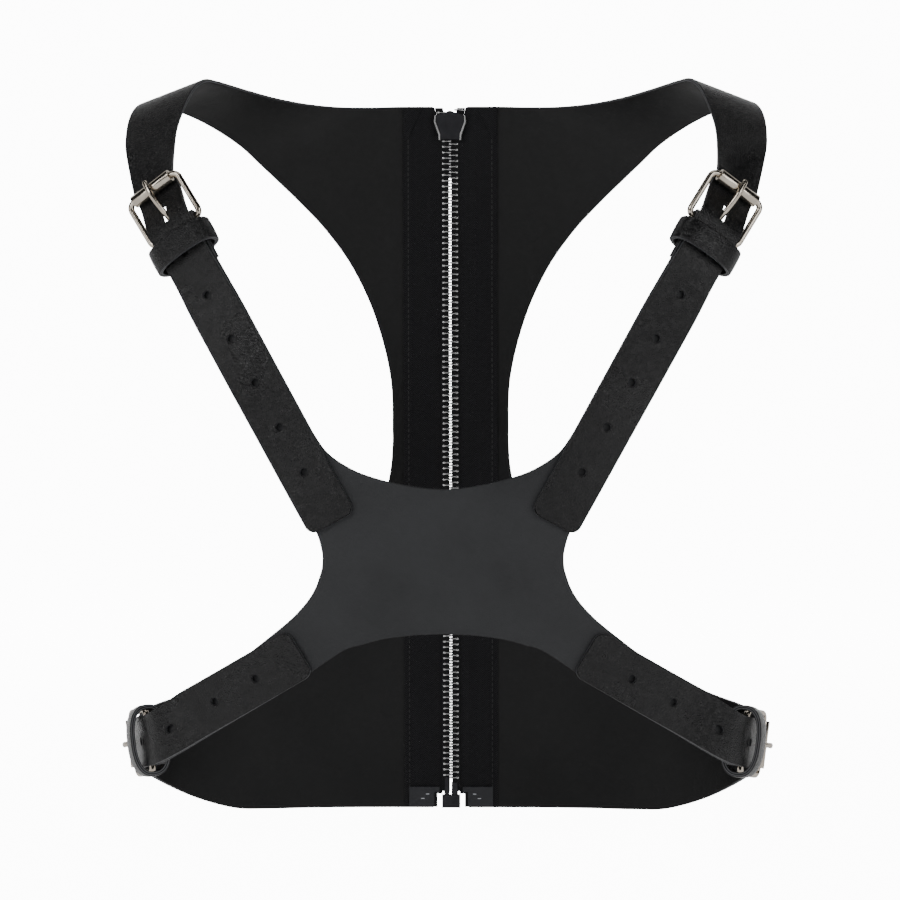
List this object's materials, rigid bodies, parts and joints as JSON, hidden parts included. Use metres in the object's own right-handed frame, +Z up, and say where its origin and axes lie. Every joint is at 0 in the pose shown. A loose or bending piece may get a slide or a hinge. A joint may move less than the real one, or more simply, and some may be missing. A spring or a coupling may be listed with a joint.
{
  "type": "leather chest harness",
  "caption": "Sleeveless leather chest harness: X-shaped front plate held by buckled shoulder and side straps to a back panel that opens down the middle with a zip.",
  "frame": {"origin": "on the floor under the middle of the harness, at the height of the hem", "axes": "+Z up the wearer's body, -Y the way the front plate faces, +X to the wearer's left"},
  "size_m": [0.3352, 0.1914, 0.3835],
  "materials": {
    "plate_leather": "matte smooth black leather with a rounded edge",
    "strap_leather": "fine pebbled black leather, semi-matte",
    "nickel_plate": "bright nickel plate on steel wire",
    "rivet_steel": "dark plated steel",
    "zip_tape": "black herringbone woven tape",
    "zip_teeth": "bright stamped metal teeth",
    "gunmetal": "dark grey matte die-cast metal",
    "reinforcing_film": "blue-black heat-bonded film"
  },
  "bodies": {
    "root": {"front_plate": "plate_leather", "back_half_left": "strap_leather", "back_half_right": "strap_leather", "buckle_frame_upper_left": "nickel_plate", "fold_rivet_upper_left": "rivet_steel", "buckle_frame_upper_right": "nickel_plate", "fold_rivet_upper_right": "rivet_steel", "buckle_frame_lower_left": "nickel_plate", "fold_rivet_lower_left": "rivet_steel", "buckle_frame_lower_right": "nickel_plate", "fold_rivet_lower_right": "rivet_steel", "zip_tape_right": "zip_tape", "zip_tape_left": "zip_tape", "tape_end_film_right": "reinforcing_film", "tape_end_film_left": "reinforcing_film", "zip_teeth_right": "zip_teeth", "zip_teeth_left": "zip_teeth", "retaining_pin": "gunmetal", "insertion_pin": "gunmetal", "retaining_box": "gunmetal"},
    "roller_upper_left": {"roller_upper_left": "nickel_plate"},
    "tongue_upper_left": {"tongue_upper_left": "nickel_plate"},
    "keeper_upper_left": {"keeper_upper_left": "strap_leather"},
    "roller_upper_right": {"roller_upper_right": "nickel_plate"},
    "tongue_upper_right": {"tongue_upper_right": "nickel_plate"},
    "keeper_upper_right": {"keeper_upper_right": "strap_leather"},
    "roller_lower_left": {"roller_lower_left": "nickel_plate"},
    "tongue_lower_left": {"tongue_lower_left": "nickel_plate"},
    "keeper_lower_left": {"keeper_lower_left": "strap_leather"},
    "roller_lower_right": {"roller_lower_right": "nickel_plate"},
    "tongue_lower_right": {"tongue_lower_right": "nickel_plate"},
    "keeper_lower_right": {"keeper_lower_right": "strap_leather"},
    "slider": {"zip_slider": "gunmetal"},
    "pull": {"pull_tab": "gunmetal"}
  },
  "joints": [
    {"name": "roller_upper_left_spin", "type": "hinge", "parent": "root", "child": "roller_upper_left", "pos_m": [0.14693, -0.05728, 0.32326], "axis": [0.7706, 0.3366, -0.5411], "continuous": true},
    {"name": "tongue_upper_left_lift", "type": "hinge", "parent": "root", "child": "tongue_upper_left", "pos_m": [0.13397, -0.06168, 0.30206], "axis": [0.7706, 0.3366, -0.5411], "range_deg": [0, 12]},
    {"name": "keeper_upper_left_slide", "type": "slide", "parent": "root", "child": "keeper_upper_left", "axis": [-0.4574, -0.2991, -0.8375], "range_m": [0, 0.04]},
    {"name": "roller_upper_right_spin", "type": "hinge", "parent": "root", "child": "roller_upper_right", "pos_m": [-0.14693, -0.05728, 0.32326], "axis": [0.7706, -0.3366, 0.5411], "continuous": true},
    {"name": "tongue_upper_right_lift", "type": "hinge", "parent": "root", "child": "tongue_upper_right", "pos_m": [-0.13397, -0.06168, 0.30206], "axis": [0.7706, -0.3366, 0.5411], "range_deg": [0, 12]},
    {"name": "keeper_upper_right_slide", "type": "slide", "parent": "root", "child": "keeper_upper_right", "axis": [0.4574, -0.2991, -0.8375], "range_m": [0, 0.04]},
    {"name": "roller_lower_left_spin", "type": "hinge", "parent": "root", "child": "roller_lower_left", "pos_m": [0.16101, -0.00407, 0.04088], "axis": [-0.1278, -0.0704, -0.9893], "continuous": true},
    {"name": "tongue_lower_left_lift", "type": "hinge", "parent": "root", "child": "tongue_lower_left", "pos_m": [0.15114, -0.02712, 0.04379], "axis": [-0.1278, -0.0704, -0.9893], "range_deg": [0, 12]},
    {"name": "keeper_lower_left_slide", "type": "slide", "parent": "root", "child": "keeper_lower_left", "axis": [-0.2628, -0.9594, 0.1022], "range_m": [0, 0.012]},
    {"name": "roller_lower_right_spin", "type": "hinge", "parent": "root", "child": "roller_lower_right", "pos_m": [-0.16101, -0.00407, 0.04088], "axis": [-0.1278, 0.0704, 0.9893], "continuous": true},
    {"name": "tongue_lower_right_lift", "type": "hinge", "parent": "root", "child": "tongue_lower_right", "pos_m": [-0.15114, -0.02712, 0.04379], "axis": [-0.1278, 0.0704, 0.9893], "range_deg": [0, 12]},
    {"name": "keeper_lower_right_slide", "type": "slide", "parent": "root", "child": "keeper_lower_right", "axis": [0.2628, -0.9594, 0.1022], "range_m": [0, 0.012]},
    {"name": "zip_slider_travel", "type": "slide", "parent": "root", "child": "slider", "axis": [0, 0.0795, -0.9968], "range_m": [0, 0.336], "deforming": ["zip_teeth_left", "zip_teeth_right"]},
    {"name": "pull_tab_swing", "type": "hinge", "parent": "slider", "child": "pull", "pos_m": [0, 0.06794, 0.36433], "axis": [1, 0, 0], "range_deg": [0, 160]}
  ]
}
